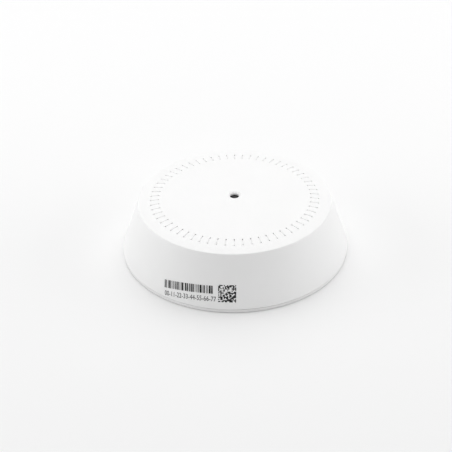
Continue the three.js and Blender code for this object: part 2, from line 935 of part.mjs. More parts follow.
function spreaderShape() {
  const shape = new THREE.Shape();
  const steps = Math.round(discSides / screwCount);
  const earHalf = Math.asin(spreaderEarRadius / postCircleRadius);
  const neckHalf = Math.asin(spreaderEarRadius / spreaderRadius);
  const points = [];
  diagonalAngles(screwCount).forEach((angle) => {
    const [x, y] = polar(postCircleRadius, angle);
    for (let step = 0; step <= holeSides / 2; step += 1) {
      const turn = angle - Math.PI / 2 + (step * 2 * Math.PI) / holeSides;
      points.push(new THREE.Vector2(
        x + spreaderEarRadius * Math.cos(turn),
        y + spreaderEarRadius * Math.sin(turn),
      ));
    }
    const start = angle + Math.max(earHalf, neckHalf);
    const sweep = (2 * Math.PI) / screwCount - 2 * Math.max(earHalf, neckHalf);
    for (let step = 0; step <= steps; step += 1) {
      const [edgeX, edgeY] = polar(spreaderRadius, start + (sweep * step) / steps);
      points.push(new THREE.Vector2(edgeX, edgeY));
    }
  });
  shape.setFromPoints(points);
  return shape;
}

function spreaderFins() {
  return diagonalAngles(finCount).map((angle) => radialBlock(
    angle,
    finInnerRadius,
    finOuterRadius,
    finThickness,
    spreaderTop - spreaderThickness / 2,
    finTop,
  ));
}

function heatSpreader() {
  const low = partSeat - cutOverrun;
  const legs = diagonalAngles(screwCount).map((angle) => {
    const [x, y] = polar(postCircleRadius, angle);
    return upright(x, y, postRadius, partSeat, spreaderUnderside + spreaderThickness / 2 - partSeat);
  });
  const holes = diagonalAngles(screwCount).map((angle) => {
    const [x, y] = polar(postCircleRadius, angle);
    return upright(x, y, screwHoleRadius, low, spreaderTop + cutOverrun - low);
  });
  return cutBy(
    joined(extruded(spreaderShape(), spreaderUnderside, spreaderThickness), ...legs, ...spreaderFins()),
    upright(0, 0, spreaderHoleRadius, spreaderUnderside - cutOverrun, spreaderThickness + 2 * cutOverrun),
    ...holes,
  );
}

// The antenna on the +X side: a bent sheet on two feet, with a slot and a lip turned inwards.
function antenna() {
  const half = antennaLength / 2;
  const top = antennaHeight;
  const slotEnd = half - antennaLength * antennaSlotShare;
  const footX = antennaLength * antennaFootShare;
  const slotLow = antennaFootHeight + antennaSlotHeight;
  const shape = new THREE.Shape([
    new THREE.Vector2(-half, antennaFootHeight),
    new THREE.Vector2(-footX - antennaFootWidth, antennaFootHeight),
    new THREE.Vector2(-footX - antennaFootWidth, 0),
    new THREE.Vector2(-footX, 0),
    new THREE.Vector2(-footX, antennaFootHeight),
    new THREE.Vector2(footX - antennaFootWidth, antennaFootHeight),
    new THREE.Vector2(footX - antennaFootWidth, 0),
    new THREE.Vector2(footX, 0),
    new THREE.Vector2(footX, antennaFootHeight),
    new THREE.Vector2(half, antennaFootHeight),
    new THREE.Vector2(half, slotLow),
    new THREE.Vector2(slotEnd, slotLow),
    new THREE.Vector2(slotEnd, slotLow + antennaSlotHeight),
    new THREE.Vector2(half, slotLow + antennaSlotHeight),
    new THREE.Vector2(half, top),
    new THREE.Vector2(-half, top),
  ]);
  const plate = extrudedShape(shape, 0, antennaSheet);
  plate.rotateX(Math.PI / 2);
  plate.rotateZ(Math.PI / 2);
  plate.translate(antennaRadius - antennaSheet, 0, partSeat);
  const lip = new THREE.BoxGeometry(antennaLip, antennaLength, antennaSheet);
  lip.translate(antennaRadius - antennaLip / 2, 0, partSeat + top - antennaSheet / 2);
  return joined(toSolid(plate), toSolid(lip));
}

// Screws

// A pan-head screw with its head's flat side at Z = 0.
function screw(length) {
  return revolved([
    [0, -length],
    [screwShankRadius, -length],
    [screwShankRadius, 0],
    [screwHeadRadius, 0],
    [screwHeadRadius, screwHeadHeight - screwHeadCrown],
    [screwHeadRadius - screwHeadCrown, screwHeadHeight],
    [0, screwHeadHeight],
  ], screwSides);
}

// Assembly

const materials = {
  shell: { color: 0xf2f2f1, roughness: 0.5, metalness: 0 },
  tray: { color: 0xe9e9e7, roughness: 0.55, metalness: 0 },
  bracket: { color: 0xdededc, roughness: 0.6, metalness: 0 },
  board: { color: 0x1f5a3a, roughness: 0.5, metalness: 0 },
  blackPlastic: { color: 0x1a1a1c, roughness: 0.5, metalness: 0 },
  smoke: { color: 0x101012, roughness: 0.15, metalness: 0 },
  tin: { color: 0xc9cbce, roughness: 0.3, metalness: 1 },
  aluminium: { color: 0xb9bcc0, roughness: 0.4, metalness: 1 },
  steel: { color: 0xa8abb0, roughness: 0.35, metalness: 1 },
  gold: { color: 0xd8b25a, roughness: 0.3, metalness: 1 },
  pad: { color: 0x8fa3b5, roughness: 0.8, metalness: 0 },
  led: { color: 0xf0efe0, roughness: 0.4, metalness: 0 },
  ferrite: { color: 0x33353a, roughness: 0.7, metalness: 0 },
};

const accessPoint = new THREE.Group();

function addPiece(name, solid, finish) {
  const mesh = new THREE.Mesh(toGeometry(solid), new THREE.MeshStandardMaterial(materials[finish]));
  mesh.name = name;
  accessPoint.add(mesh);
  return mesh;
}

addPiece('top_cover', topCover(), 'shell');
addPiece('base_tray', baseTray(), 'tray');
addPiece('ceiling_bracket', ceilingBracket(), 'bracket');
addPiece('main_board', mainBoard(), 'board');
addPiece('processor_chip', processorChip(), 'blackPlastic');
addPiece('thermal_pad', thermalPad(), 'pad');
addPiece('heat_spreader', heatSpreader(), 'aluminium');
addPiece('radio_shield_1', shieldCan(1), 'tin');
addPiece('radio_shield_2', shieldCan(-1), 'tin');
addPiece('status_led', statusLed(), 'led');
addPiece('light_pipe', lightPipe(), 'smoke');
addPiece('ethernet_jack', ethernetJack(), 'tin');
addPiece('ethernet_contacts', jackContacts(), 'gold');
addPiece('ethernet_magnetics', ethernetMagnetics(), 'blackPlastic');
addPiece('poe_transformer', poeTransformer(), 'ferrite');
addPiece('power_inductor', powerInductor(), 'ferrite');
addPiece('reset_button', resetButton(), 'blackPlastic');
addPiece('reset_switch', resetSwitch(), 'blackPlastic');

for (let index = 0; index < capacitorCount; index += 1) {
  const x = transformerX - transformerLength / 2 - partSpacing - capacitorRadius;
  const y = rowY(2 * capacitorRadius) - index * capacitorPitch;
  addPiece(`bulk_capacitor_${index + 1}`, bulkCapacitor(), 'aluminium').position.set(x, y, 0);
}

for (let index = 0; index < antennaCount; index += 1) {
  addPiece(`antenna_${index + 1}`, antenna(), 'tin').rotation.z = (index * 2 * Math.PI) / antennaCount;
}

diagonalAngles(screwCount).forEach((angle, index) => {
  const boardScrew = addPiece(`board_screw_${index + 1}`, screw(boardScrewLength), 'steel');
  boardScrew.position.set(...polar(postCircleRadius, angle), spreaderTop + pieceGap);
  const coverScrew = addPiece(`cover_screw_${index + 1}`, screw(coverScrewLength), 'steel');
  coverScrew.position.set(...polar(coverScrewCircleRadius, angle), counterboreTop - pieceGap);
  coverScrew.rotation.x = Math.PI;
});

export default accessPoint;
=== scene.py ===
import json
import math
import random

import bmesh
import bpy
from mathutils import Matrix, Vector

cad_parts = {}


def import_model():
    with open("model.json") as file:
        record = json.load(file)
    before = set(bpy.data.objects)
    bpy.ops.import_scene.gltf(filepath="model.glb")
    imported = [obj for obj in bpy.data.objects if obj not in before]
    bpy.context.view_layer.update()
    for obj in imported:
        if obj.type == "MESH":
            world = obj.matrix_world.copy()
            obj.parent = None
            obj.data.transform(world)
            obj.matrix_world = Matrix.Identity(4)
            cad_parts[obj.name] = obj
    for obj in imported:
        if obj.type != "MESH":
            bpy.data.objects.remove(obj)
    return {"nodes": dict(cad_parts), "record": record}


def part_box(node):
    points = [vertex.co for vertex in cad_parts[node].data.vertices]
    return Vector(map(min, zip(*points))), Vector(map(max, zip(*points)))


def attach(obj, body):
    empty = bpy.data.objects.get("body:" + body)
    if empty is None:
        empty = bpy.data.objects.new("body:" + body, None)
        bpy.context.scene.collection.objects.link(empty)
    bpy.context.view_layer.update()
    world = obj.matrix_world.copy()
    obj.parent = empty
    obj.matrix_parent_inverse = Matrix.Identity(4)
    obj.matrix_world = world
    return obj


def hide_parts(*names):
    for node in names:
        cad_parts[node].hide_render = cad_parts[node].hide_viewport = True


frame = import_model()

# Lengths are in metres, and MM turns millimetres into them.
MM = 0.001
MERGE = 0.002 * MM
SHORT_EDGE = 0.05 * MM
SCATTER_DEPTH = 1.2 * MM
SMOOTH_BELOW = math.radians(32)
ROUND_ABOVE = math.radians(40)
EDGE_SEGMENTS = 2
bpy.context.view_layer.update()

# The drum, as its mould gives it
TOP = 42 * MM
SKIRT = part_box("top_cover")[0].z
BASE_RADIUS = 80 * MM
RIM_RADIUS = 67.3 * MM
DOME_DROP = 3.4 * MM
DOME_POWER = 3.5
DOME_STEPS = 14
RIM_HEIGHT = TOP - DOME_DROP
WALL = 2.2 * MM
SKIRT_ROUND = 0.5 * MM
RIM_ROUND = 0.9 * MM
WALL_SLOPE = math.atan2(BASE_RADIUS - RIM_RADIUS, RIM_HEIGHT - SKIRT)
DRUM_STEPS = 240
TRIM_STEPS = 120
BAND_STEP = math.radians(1.5)

# Vent ring
VENT_COUNT = 62
VENT_PHASE = math.radians(-90.7)
VENT_INNER = 53.1 * MM
VENT_OUTER = 58.5 * MM
VENT_HOLE_RADIUS = 0.55 * MM
VENT_HOLE_SIDES = 12
VENT_HOLE_FLARE = 0.12 * MM
VENT_GROOVE_WIDTH = 0.6 * MM
VENT_GROOVE_DEPTH = 0.4 * MM

# Status window
WINDOW_RADIUS = 3.2 * MM
WINDOW_FLARE_RADIUS = 4.7 * MM
WINDOW_FLARE_DEPTH = 0.9 * MM
FLARE_ROUND = 0.15 * MM

# Inside of the cover
BOSS_CIRCLE = 64.5 * MM
BOSS_RADIUS = 3.6 * MM
BOSS_SIDES = 32
BOSS_BOTTOM = 6.5 * MM
BOSS_HOLE_RADIUS = 1.75 * MM
BOSS_HOLE_SIDES = 24
BOSS_HOLE_TOP = 16.6 * MM
COLLAR_RADIUS = 4.9 * MM
COLLAR_WALL = 1.3 * MM
COLLAR_HEIGHT = 4 * MM
GUSSET_COUNT = 20
GUSSET_THICKNESS = 1.2 * MM
GUSSET_REACH = 5 * MM
GUSSET_DROP = 7 * MM

# Base tray
TRAY_UNDERSIDE = 0.2 * MM
FLANGE_TOP = 2.4 * MM
FLANGE_RADIUS = 79.55 * MM
FLANGE_CHAMFER = 0.2 * MM
TRAY_WALL = 2.2 * MM
TRAY_EDGE = 0.12 * MM
LOCATING_RIM_TOP = 7.4 * MM
LOCATING_RIM_WALL = 1.6 * MM
LOCATING_RIM_GAP = 0.3 * MM
WELL_RADIUS = 57 * MM
WELL_CEILING = 3 * MM
WELL_TOP = WELL_CEILING + TRAY_WALL
RIB_COUNT = 8
RIB_INNER = 37.5 * MM
RIB_THICKNESS = 1.6 * MM
RIB_TOP = 9.2 * MM
POST_CIRCLE = 52 * MM
POST_RADIUS = 3.5 * MM
POST_TOP = 19.3 * MM
POST_HOLE_BOTTOM = 7.2 * MM
TRAY_BOSS_RADIUS = 5 * MM
TRAY_BOSS_TOP = 6.2 * MM
COUNTERBORE_RADIUS = 3.1 * MM
COUNTERBORE_TOP = 3.6 * MM
POCKET_LOW = Vector((-30, -14)) * MM
POCKET_HIGH = Vector((12, 14)) * MM
POCKET_CEILING = 17.2 * MM
POCKET_WALL = 1.6 * MM
POCKET_ROUND = 3 * MM
JACK_WINDOW_HALF = 6.45 * MM
JACK_WINDOW_BOTTOM = 6 * MM
JACK_WINDOW_TOP = 16.6 * MM
RESET_X = -18 * MM
RESET_Z = 13.6 * MM
RESET_HOLE_RADIUS = 1.9 * MM

# Ceiling bracket
PLATE_RADIUS = 56.5 * MM
PLATE_THICKNESS = 2.4 * MM
PLATE_EDGE = 0.14 * MM
CABLE_HOLE_RADIUS = 26 * MM
LUG_CIRCLE = 51.5 * MM
LUG_STEM = 3 * MM
LUG_HEAD = 7 * MM
LUG_SPAN = math.radians(10)
LUG_HEAD_BOTTOM = 5.7 * MM
LUG_HEAD_TOP = 7.7 * MM
LUG_GAP = 0.5 * MM
LUG_SLACK = math.radians(0.8)
TWIST = math.radians(20)
FIXING_CIRCLE = 34 * MM
FIXING_WIDTH = 4.6 * MM
FIXING_SPAN = math.radians(26)
FIXING_HEAD_WIDTH = 8.4 * MM
FIXING_HEAD_DEPTH = 1.3 * MM
TONGUE_ANGLES = (math.radians(78), math.radians(258))
TONGUE_CIRCLE = 52 * MM
TONGUE_WIDTH = 4 * MM
TONGUE_SLIT = 1.1 * MM
TONGUE_SPAN = math.radians(22)
TONGUE_BUMP = 0.3 * MM
TONGUE_BUMP_SPAN = math.radians(3)

# Screws
SHANK_RADIUS = 1.45 * MM
HEAD_RADIUS = 2.8 * MM
HEAD_HEIGHT = 2 * MM
HEAD_CROWN = 0.6 * MM
SCREW_STEPS = 40
RECESS_REACH = 1.5 * MM
RECESS_WIDTH = 0.55 * MM
RECESS_DEPTH = 1.1 * MM

# Light pipe and capacitors
PIPE_GAP = 0.3 * MM
PIPE_FOOT_RADIUS = 2.2 * MM
PIPE_FLANGE_RADIUS = 4.6 * MM
PIPE_FLANGE_HEIGHT = 1.2 * MM
PIPE_STEPS = 64
PIPE_ROUND = 0.2 * MM
CAN_STEPS = 48
CAN_ROUND = 0.7 * MM
CRIMP = 0.8 * MM
SCORE = 0.3 * MM

# Edge rounds of the pieces that keep their CAD form
EDGES = {
    "main_board": 0.1 * MM,
    "processor_chip": 0.15 * MM,
    "thermal_pad": 0.15 * MM,
    "heat_spreader": 0.25 * MM,
    "radio_shield_1": 0.2 * MM,
    "radio_shield_2": 0.2 * MM,
    "status_led": 0.15 * MM,
    "ethernet_jack": 0.2 * MM,
    "ethernet_contacts": 0.08 * MM,
    "ethernet_magnetics": 0.3 * MM,
    "poe_transformer": 0.3 * MM,
    "power_inductor": 0.3 * MM,
    "reset_button": 0.2 * MM,
    "reset_switch": 0.2 * MM,
    "antenna_1": 0.1 * MM,
    "antenna_2": 0.1 * MM,
    "antenna_3": 0.1 * MM,
    "antenna_4": 0.1 * MM,
}

# The printed mark on the wall, rolled out flat: across runs round the drum, up runs up the wall
MARK_AZIMUTH = math.radians(-19.5)
MARK_HEIGHT = 13 * MM
MARK_TILT = math.radians(4.9)
MARK_LIFT = 0.03 * MM
MARK_SINK = 0.05 * MM
BARS_LEFT = -25.0 * MM
BARS_RIGHT = 11.3 * MM
BARS_BOTTOM = -0.95 * MM
BARS_TOP = 4.5 * MM
BAR_MODULE = 0.33 * MM
DIGITS_LEFT = -24.8 * MM
DIGITS_RIGHT = 12.6 * MM
DIGITS_BOTTOM = -6.2 * MM
DIGITS_HEIGHT = 3.3 * MM
DIGITS = "00-11-22-33-44-55-66-77"
MATRIX_LEFT = 14.0 * MM
MATRIX_BOTTOM = -6.4 * MM
MATRIX_SIZE = 11.8 * MM
MATRIX_CELLS = 16
MATRIX_SHARE = 0.56
MATRIX_EDGE_SHARE = 0.75

# Photograph's frame and camera
PICTURE = 452
CAMERA_DISTANCE = 10 * BASE_RADIUS
CAMERA_ELEVATION = math.radians(34.6)
CAMERA_ROLL = math.radians(-1.12)
FOCAL_PIXELS = 1115
AXIS_PIXEL = Vector((235.38, 244.4))
SENSOR = 36

# The floor lies just under the bracket
FLOOR_GAP = 0.02 * MM
FLOOR_RADIUS = 12
FLOOR_SIDES = 96


# Shader sockets as numbers

class Value:
    """A shader socket that takes part in Python sums: each operator adds a Math node."""

    def __init__(self, graph, socket):
        self.graph = graph
        self.socket = socket

    def math(self, operation, *others):
        return self.graph.node("ShaderNodeMath", {"operation": operation}, self, *others)

    def __add__(self, other):
        return self.math("ADD", other)

    __radd__ = __add__

    def __mul__(self, other):
        return self.math("MULTIPLY", other)

    __rmul__ = __mul__


class Graph:
    """A material and the one method that adds nodes to it."""

    def __init__(self, name):
        self.material = bpy.data.materials.new(name)
        self.material.use_nodes = True
        self.tree = self.material.node_tree
        self.shader = self.tree.nodes["Principled BSDF"]
        self.output = self.tree.nodes["Material Output"]

    def node(self, kind, settings, *values, out=0, **named):
        made = self.tree.nodes.new(kind)
        for key, setting in settings.items():
            if key == "stops":
                ramp = made.color_ramp
                for index, (place, shade) in enumerate(setting):
                    stop = ramp.elements[index] if index < 2 else ramp.elements.new(place)
                    stop.position = place
                    stop.color = (shade, shade, shade, 1)
            else:
                setattr(made, key, setting)
        for index, value in enumerate(values):
            self.feed(made.inputs[index], value)
        for key, value in named.items():
            self.feed(made.inputs[key.replace("_", " ")], value)
        return Value(self, made.outputs[out])

    def feed(self, socket, value):
        if isinstance(value, Value):
            self.tree.links.new(value.socket, socket)
        elif value is not None:
            socket.default_value = value

    def place(self):
        return self.node("ShaderNodeTexCoord", {}, out="Object")

    def noise(self, scale, detail=3, roughness=0.5):
        return self.node(
            "ShaderNodeTexNoise", {}, Vector=self.place(), Scale=scale, Detail=detail, Roughness=roughness
        )

    def mix(self, factor, low, high):
        made = self.tree.nodes.new("ShaderNodeMix")
        made.data_type = "RGBA"
        self.feed(made.inputs[0], factor)
        self.feed(made.inputs[6], low)
        self.feed(made.inputs[7], high)
        return Value(self, made.outputs[2])

    def bump(self, height, distance, strength=1.0):
        normal = self.node("ShaderNodeBump", {}, Height=height, Distance=distance, Strength=strength)
        self.feed(self.shader.inputs["Normal"], normal)

    def set(self, **sockets):
        for key, value in sockets.items():
            self.feed(self.shader.inputs[key.replace("_", " ")], value)
        return self


def shade(colour, factor=1.0):
    return tuple(channel * factor for channel in colour) + (1.0,)


def moulded(name, colour, roughness, grain=9000, grain_height=0.012 * MM, wander=0.02, scatter=0.0):
    """Injection-moulded plastic: a fine spark-eroded grain, and tone and gloss that wander a little."""
    graph = Graph(name)
    cloud = graph.noise(38, detail=4)
    fine = graph.noise(grain, detail=2, roughness=0.6)
    colour_value = graph.mix(cloud, shade(colour, 1 - wander), shade(colour, 1 + wander / 2))
    graph.set(Base_Color=colour_value, Roughness=roughness - 0.04 + cloud * 0.08)
    graph.set(IOR=1.49, Subsurface_Weight=scatter, Subsurface_Scale=SCATTER_DEPTH)
    graph.set(Subsurface_Radius=(1, 1, 1))
    graph.bump(fine, grain_height)
    return graph.material


def metal(name, colour, roughness, streaks=(40, 40, 900), wander=0.12, grain_height=0.006 * MM):
    """Drawn or cast metal: streaks along one way, in tone and in roughness."""
    graph = Graph(name)
    stretched = graph.node("ShaderNodeMapping", {}, Vector=graph.place(), Scale=streaks)
    grain = graph.node("ShaderNodeTexNoise", {}, Vector=stretched, Scale=1.0, Detail=4)
    tone = graph.mix(grain, shade(colour, 1 - wander), shade(colour, 1.0))
    graph.set(Base_Color=tone, Metallic=1.0, Roughness=roughness - 0.06 + grain * 0.12)
    graph.bump(grain, grain_height)
    return graph.material


def ink(name, colour):
    """Ink on plastic: dull, with small thin places."""
    graph = Graph(name)
    thin = graph.noise(2600, detail=3)
    tone = graph.mix(thin, shade(colour, 0.8), shade(colour, 1.9))
    graph.set(Base_Color=tone, Roughness=0.62 + thin * 0.15, Specular_IOR_Level=0.3)
    graph.bump(thin, 0.004 * MM)
    return graph.material


def solder_mask(name):
    """Green board lacquer over a faint pattern of tracks."""
    graph = Graph(name)
    squares = graph.node(
        "ShaderNodeTexBrick",
        {"offset": 0.5},
        Vector=graph.place(),
        Scale=260.0,
        Mortar_Size=0.012,
    )
    cloud = graph.noise(90, detail=3)
    tracks = graph.node("ShaderNodeRGBToBW", {}, squares)
    tone = graph.mix(tracks, shade((0.012, 0.11, 0.05)), shade((0.02, 0.17, 0.08)))
    graph.set(Base_Color=tone, Roughness=0.32 + cloud * 0.1, Coat_Weight=0.3)
    graph.bump(tracks, 0.01 * MM)
    return graph.material


def smoked(name):
    """Dark clear plastic, seen as a glossy near black with a soft haze."""
    graph = Graph(name)
    haze = graph.noise(700, detail=2)
    tone = graph.mix(haze, shade((0.006, 0.006, 0.007)), shade((0.012, 0.012, 0.013)))
    graph.set(Base_Color=tone, Roughness=0.12 + haze * 0.08, Specular_IOR_Level=0.2)
    graph.bump(haze, 0.002 * MM)
    return graph.material


def lamp_lens(name):
    """The lamp's pale phosphor under a clear lens."""
    graph = Graph(name)
    cloud = graph.noise(900, detail=2)
    tone = graph.mix(cloud, shade((0.75, 0.68, 0.36)), shade((0.85, 0.8, 0.52)))
    graph.set(Base_Color=tone, Roughness=0.25 + cloud * 0.1, Coat_Weight=0.5)
    return graph.material


FINISHES = {
    "shell": moulded("moulded_white_shell", (0.92, 0.92, 0.918), 0.46, scatter=0.5),
    "tray": moulded("moulded_white_tray", (0.88, 0.88, 0.876), 0.52, scatter=0.5),
    "bracket": moulded("moulded_off_white_bracket", (0.78, 0.78, 0.77), 0.56, scatter=0.4),
    "black_plastic": moulded("moulded_black", (0.018, 0.018, 0.02), 0.45, wander=0.2),
    "ferrite": moulded("sintered_ferrite", (0.035, 0.037, 0.042), 0.62, grain=5000, wander=0.25),
    "pad": moulded("soft_thermal_pad", (0.24, 0.31, 0.39), 0.78, grain=3000, grain_height=0.03 * MM),
    "board": solder_mask("green_solder_mask"),
    "aluminium": metal("cast_aluminium", (0.62, 0.63, 0.65), 0.42, streaks=(500, 500, 500)),
    "tin": metal("tinned_sheet", (0.7, 0.71, 0.72), 0.3),
    "gold": metal("gold_flash", (0.83, 0.6, 0.25), 0.26, streaks=(60, 900, 900)),
    "screw_steel": metal("zinc_plated_steel", (0.5, 0.51, 0.53), 0.34, streaks=(700, 700, 60)),
    "smoke": smoked("smoked_window"),
    "led": lamp_lens("lamp_lens"),
}
INK = ink("printing_ink", (0.016, 0.016, 0.017))


# Mesh helpers

def finish_piece(name, shape, body, slot, replaces=(), material=None):
    """Turns a bmesh into a named piece that rides on a body and has smooth faces with sharp edges."""
    for face in shape.faces:
        face.smooth = True
    for edge in shape.edges:
        edge.smooth = edge.is_manifold and edge.calc_face_angle(0) < SMOOTH_BELOW
    mesh = bpy.data.meshes.new(name)
    shape.to_mesh(mesh)
    shape.free()
    piece = bpy.data.objects.new(name, mesh)
    bpy.context.collection.objects.link(piece)
    mesh.materials.append(material or FINISHES[slot])
    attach(piece, body)
    if replaces:
        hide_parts(*replaces)
    return piece


def spun(corners, steps=DRUM_STEPS):
    """A body of revolution about Z from its half section: a closed loop of (radius, height, round)."""
    shape = bmesh.new()
    points = [shape.verts.new((corner[0], 0, corner[1])) for corner in corners]
    for index, point in enumerate(points):
        shape.edges.new((point, points[(index + 1) % len(points)]))
    for point, corner in zip(points, corners):
        if len(corner) > 2:
            back, ahead = (edge.other_vert(point).co - point.co for edge in point.link_edges)
            bmesh.ops.bevel(
                shape,
                geom=[point],
                offset=corner[2] / math.tan(back.angle(ahead) / 2),
                offset_type="OFFSET",
                segments=6,
                profile=0.5,
                affect="VERTICES",
                material=-1,
            )
    bmesh.ops.spin(
        shape,
        geom=shape.verts[:] + shape.edges[:],
        cent=(0, 0, 0),
        axis=(0, 0, 1),
        angle=math.tau,
        steps=steps,
        use_merge=True,
    )
    bmesh.ops.remove_doubles(shape, verts=shape.verts, dist=MERGE)
    on_axis = [edge for edge in shape.edges if edge.is_wire]
    bmesh.ops.delete(shape, geom=on_axis, context="EDGES")
    bmesh.ops.recalc_face_normals(shape, faces=shape.faces)
    return shape


def box_shape(low, high):
    shape = bmesh.new()
    bmesh.ops.create_cube(shape, size=1)
    low = Vector(low)
    high = Vector(high)
    bmesh.ops.scale(shape, vec=high - low, verts=shape.verts)
    bmesh.ops.translate(shape, vec=(low + high) / 2, verts=shape.verts)
    return shape


def rod(radius, low, high, sides, at=(0, 0)):
    shape = bmesh.new()
    bmesh.ops.create_cone(
        shape, cap_ends=True, segments=sides, radius1=radius, radius2=radius, depth=high - low
    )
    bmesh.ops.translate(shape, vec=(at[0], at[1], (low + high) / 2), verts=shape.verts)
    return shape


def add_into(target, *sources):
    """Adds the faces of other bmeshes to target and frees them."""
    for source in sources:
        mesh = bpy.data.meshes.new("part")
        source.to_mesh(mesh)
        source.free()
        target.from_mesh(mesh)
        bpy.data.meshes.remove(mesh)
    return target


def turned(shape, angle):
    bmesh.ops.rotate(shape, cent=(0, 0, 0), matrix=Matrix.Rotation(angle, 3, "Z"), verts=shape.verts)
    return shape


def combined(first, second, operation):
    """Cuts, joins or intersects two bmeshes through a Boolean modifier, and gives a new bmesh."""
    objects = []
    for shape in (first, second):
        mesh = bpy.data.meshes.new("operand")
        shape.to_mesh(mesh)
        shape.free()
        made = bpy.data.objects.new("operand", mesh)
        bpy.context.collection.objects.link(made)
        objects.append(made)
    modifier = objects[0].modifiers.new("combine", "BOOLEAN")
    modifier.operation = operation
    modifier.solver = "EXACT"
    modifier.object = objects[1]
    graph = bpy.context.evaluated_depsgraph_get()
    mesh = bpy.data.meshes.new_from_object(objects[0].evaluated_get(graph))
    result = bmesh.new()
    result.from_mesh(mesh)
    bpy.data.meshes.remove(mesh)
    for made in objects:
        operand = made.data
        bpy.data.objects.remove(made)
        bpy.data.meshes.remove(operand)
    return result


def joined(first, *others):
    for other in others:
        first = combined(first, other, "UNION")
    return first


def cut_by(first, *tools):
    for tool in tools:
        first = combined(first, tool, "DIFFERENCE")
    return first


def ring_of(angles, make):
    """Copies of what make gives, turned to each angle, in one bmesh."""
    shape = bmesh.new()
    for angle in angles:
        add_into(shape, turned(make(), angle))
    return shape


def quarters(start=0.0):
    return [start + index * math.tau / 4 for index in range(4)]


def swept(section, span, centre=0.0):
    """A section of (radius, height) corners carried part of the way round Z, with square ends."""
    shape = bmesh.new()
    end = shape.faces.new([shape.verts.new((radius, 0, height)) for radius, height in section])
    turned(shape, centre - span / 2)
    bmesh.ops.spin(
        shape,
        geom=[end],
        cent=(0, 0, 0),
        axis=(0, 0, 1),
        angle=span,
        steps=max(2, round(span / BAND_STEP)),
    )
    bmesh.ops.recalc_face_normals(shape, faces=shape.faces)
    return shape


def band(middle, width, span, low, high, centre=0.0):
    """A stretch of a flat ring round Z."""
    near = middle - width / 2
    far = middle + width / 2
    return swept(((near, low), (far, low), (far, high), (near, high)), span, centre)


def rounded_box(low, high, radius):
    """A box whose four upright edges are rounded."""
    shape = box_shape(low, high)
    upright = [edge for edge in shape.edges if abs(edge.verts[0].co.z - edge.verts[1].co.z) > MERGE]
    bmesh.ops.bevel(
        shape, geom=upright, offset=radius, segments=8, profile=0.5, affect="EDGES", material=-1
    )
    return shape


def rod_along_y(radius, low, high, x, z):
    shape = rod(radius, low, high, BOSS_SIDES)
    bmesh.ops.rotate(shape, cent=(0, 0, 0), matrix=Matrix.Rotation(-math.pi / 2, 3, "X"), verts=shape.verts)
    bmesh.ops.translate(shape, vec=(x, 0, z), verts=shape.verts)
    return shape


def rounded_edges(piece, width, clamped=True):
    bevel = piece.modifiers.new("edges", "BEVEL")
    bevel.width = width
    bevel.segments = EDGE_SEGMENTS
    bevel.limit_method = "ANGLE"
    bevel.angle_limit = ROUND_ABOVE
    bevel.use_clamp_overlap = clamped
    return piece


def ready_for_rounding(shape):
    """Merges the very short edges that cuts leave, and splits faces of many corners."""
    bmesh.ops.remove_doubles(shape, verts=shape.verts, dist=SHORT_EDGE)
    many = [face for face in shape.faces if len(face.verts) > 4]
    bmesh.ops.triangulate(shape, faces=many)
    return shape


def made_flat(shape, angle):
    """Joins faces that lie in one plane, up to a small angle between them."""
    bmesh.ops.dissolve_limit(
        shape,
        angle_limit=angle,
        verts=shape.verts,
        edges=shape.edges,
        use_dissolve_boundaries=False,
    )


def polar(radius, angle):
    return Vector((radius * math.cos(angle), radius * math.sin(angle)))


def diagonals(count):
    return [(index + 0.5) * math.tau / count for index in range(count)]


def wall_radius(height):
    return BASE_RADIUS - (height - SKIRT) * math.tan(WALL_SLOPE)


def inner_wall_radius(height):
    return wall_radius(height) - WALL / math.cos(WALL_SLOPE)


def dome_height(radius):
    return TOP - DOME_DROP * (radius / RIM_RADIUS) ** DOME_POWER


def dome_points(outer, inner, lift=0.0):
    """The dome's outline from an outer to an inner radius, both left out, closer where it is steep."""
    last = math.acos(inner / outer)
    radii = [outer * math.cos(last * step / DOME_STEPS) for step in range(1, DOME_STEPS)]
    return [(radius, dome_height(radius) + lift) for radius in radii]


# Cover

def cover_outline():
    """The cover's section, with the short tube that holds the light pipe."""
    inner_rim = inner_wall_radius(RIM_HEIGHT - WALL)
    collar_radius = COLLAR_RADIUS + COLLAR_WALL
    return [
        (inner_wall_radius(SKIRT), SKIRT),
        (BASE_RADIUS, SKIRT, SKIRT_ROUND),
        (RIM_RADIUS, RIM_HEIGHT, RIM_ROUND),
        *dome_points(RIM_RADIUS, WINDOW_FLARE_RADIUS),
        (WINDOW_FLARE_RADIUS, TOP, FLARE_ROUND),
        (WINDOW_RADIUS, TOP - WINDOW_FLARE_DEPTH, FLARE_ROUND),
        (WINDOW_RADIUS, TOP - WALL),
        (COLLAR_RADIUS, TOP - WALL),
        (COLLAR_RADIUS, TOP - WALL - COLLAR_HEIGHT),
        (collar_radius, TOP - WALL - COLLAR_HEIGHT),
        (collar_radius, dome_height(collar_radius) - WALL),
        *reversed(dome_points(inner_rim, collar_radius, -WALL)),
        (inner_rim, RIM_HEIGHT - WALL),
    ]


def under_the_skin(shape):
    """Trims what stands inside the cover to the middle of its wall."""
    middle = WALL / 2
    inner_rim = inner_wall_radius(RIM_HEIGHT - WALL)
    envelope = spun([
        (COLLAR_RADIUS, SKIRT),
        (inner_wall_radius(SKIRT) + middle, SKIRT),
        (inner_rim + middle, RIM_HEIGHT - WALL),
        *dome_points(inner_rim, COLLAR_RADIUS, -middle),
        (COLLAR_RADIUS, TOP - middle),
    ], steps=TRIM_STEPS)
    return combined(shape, envelope, "INTERSECT")


def screw_bosses():
    shape = bmesh.new()
    for angle in diagonals(4):
        add_into(shape, rod(BOSS_RADIUS, BOSS_BOTTOM, TOP, BOSS_SIDES, polar(BOSS_CIRCLE, angle)))
    return shape


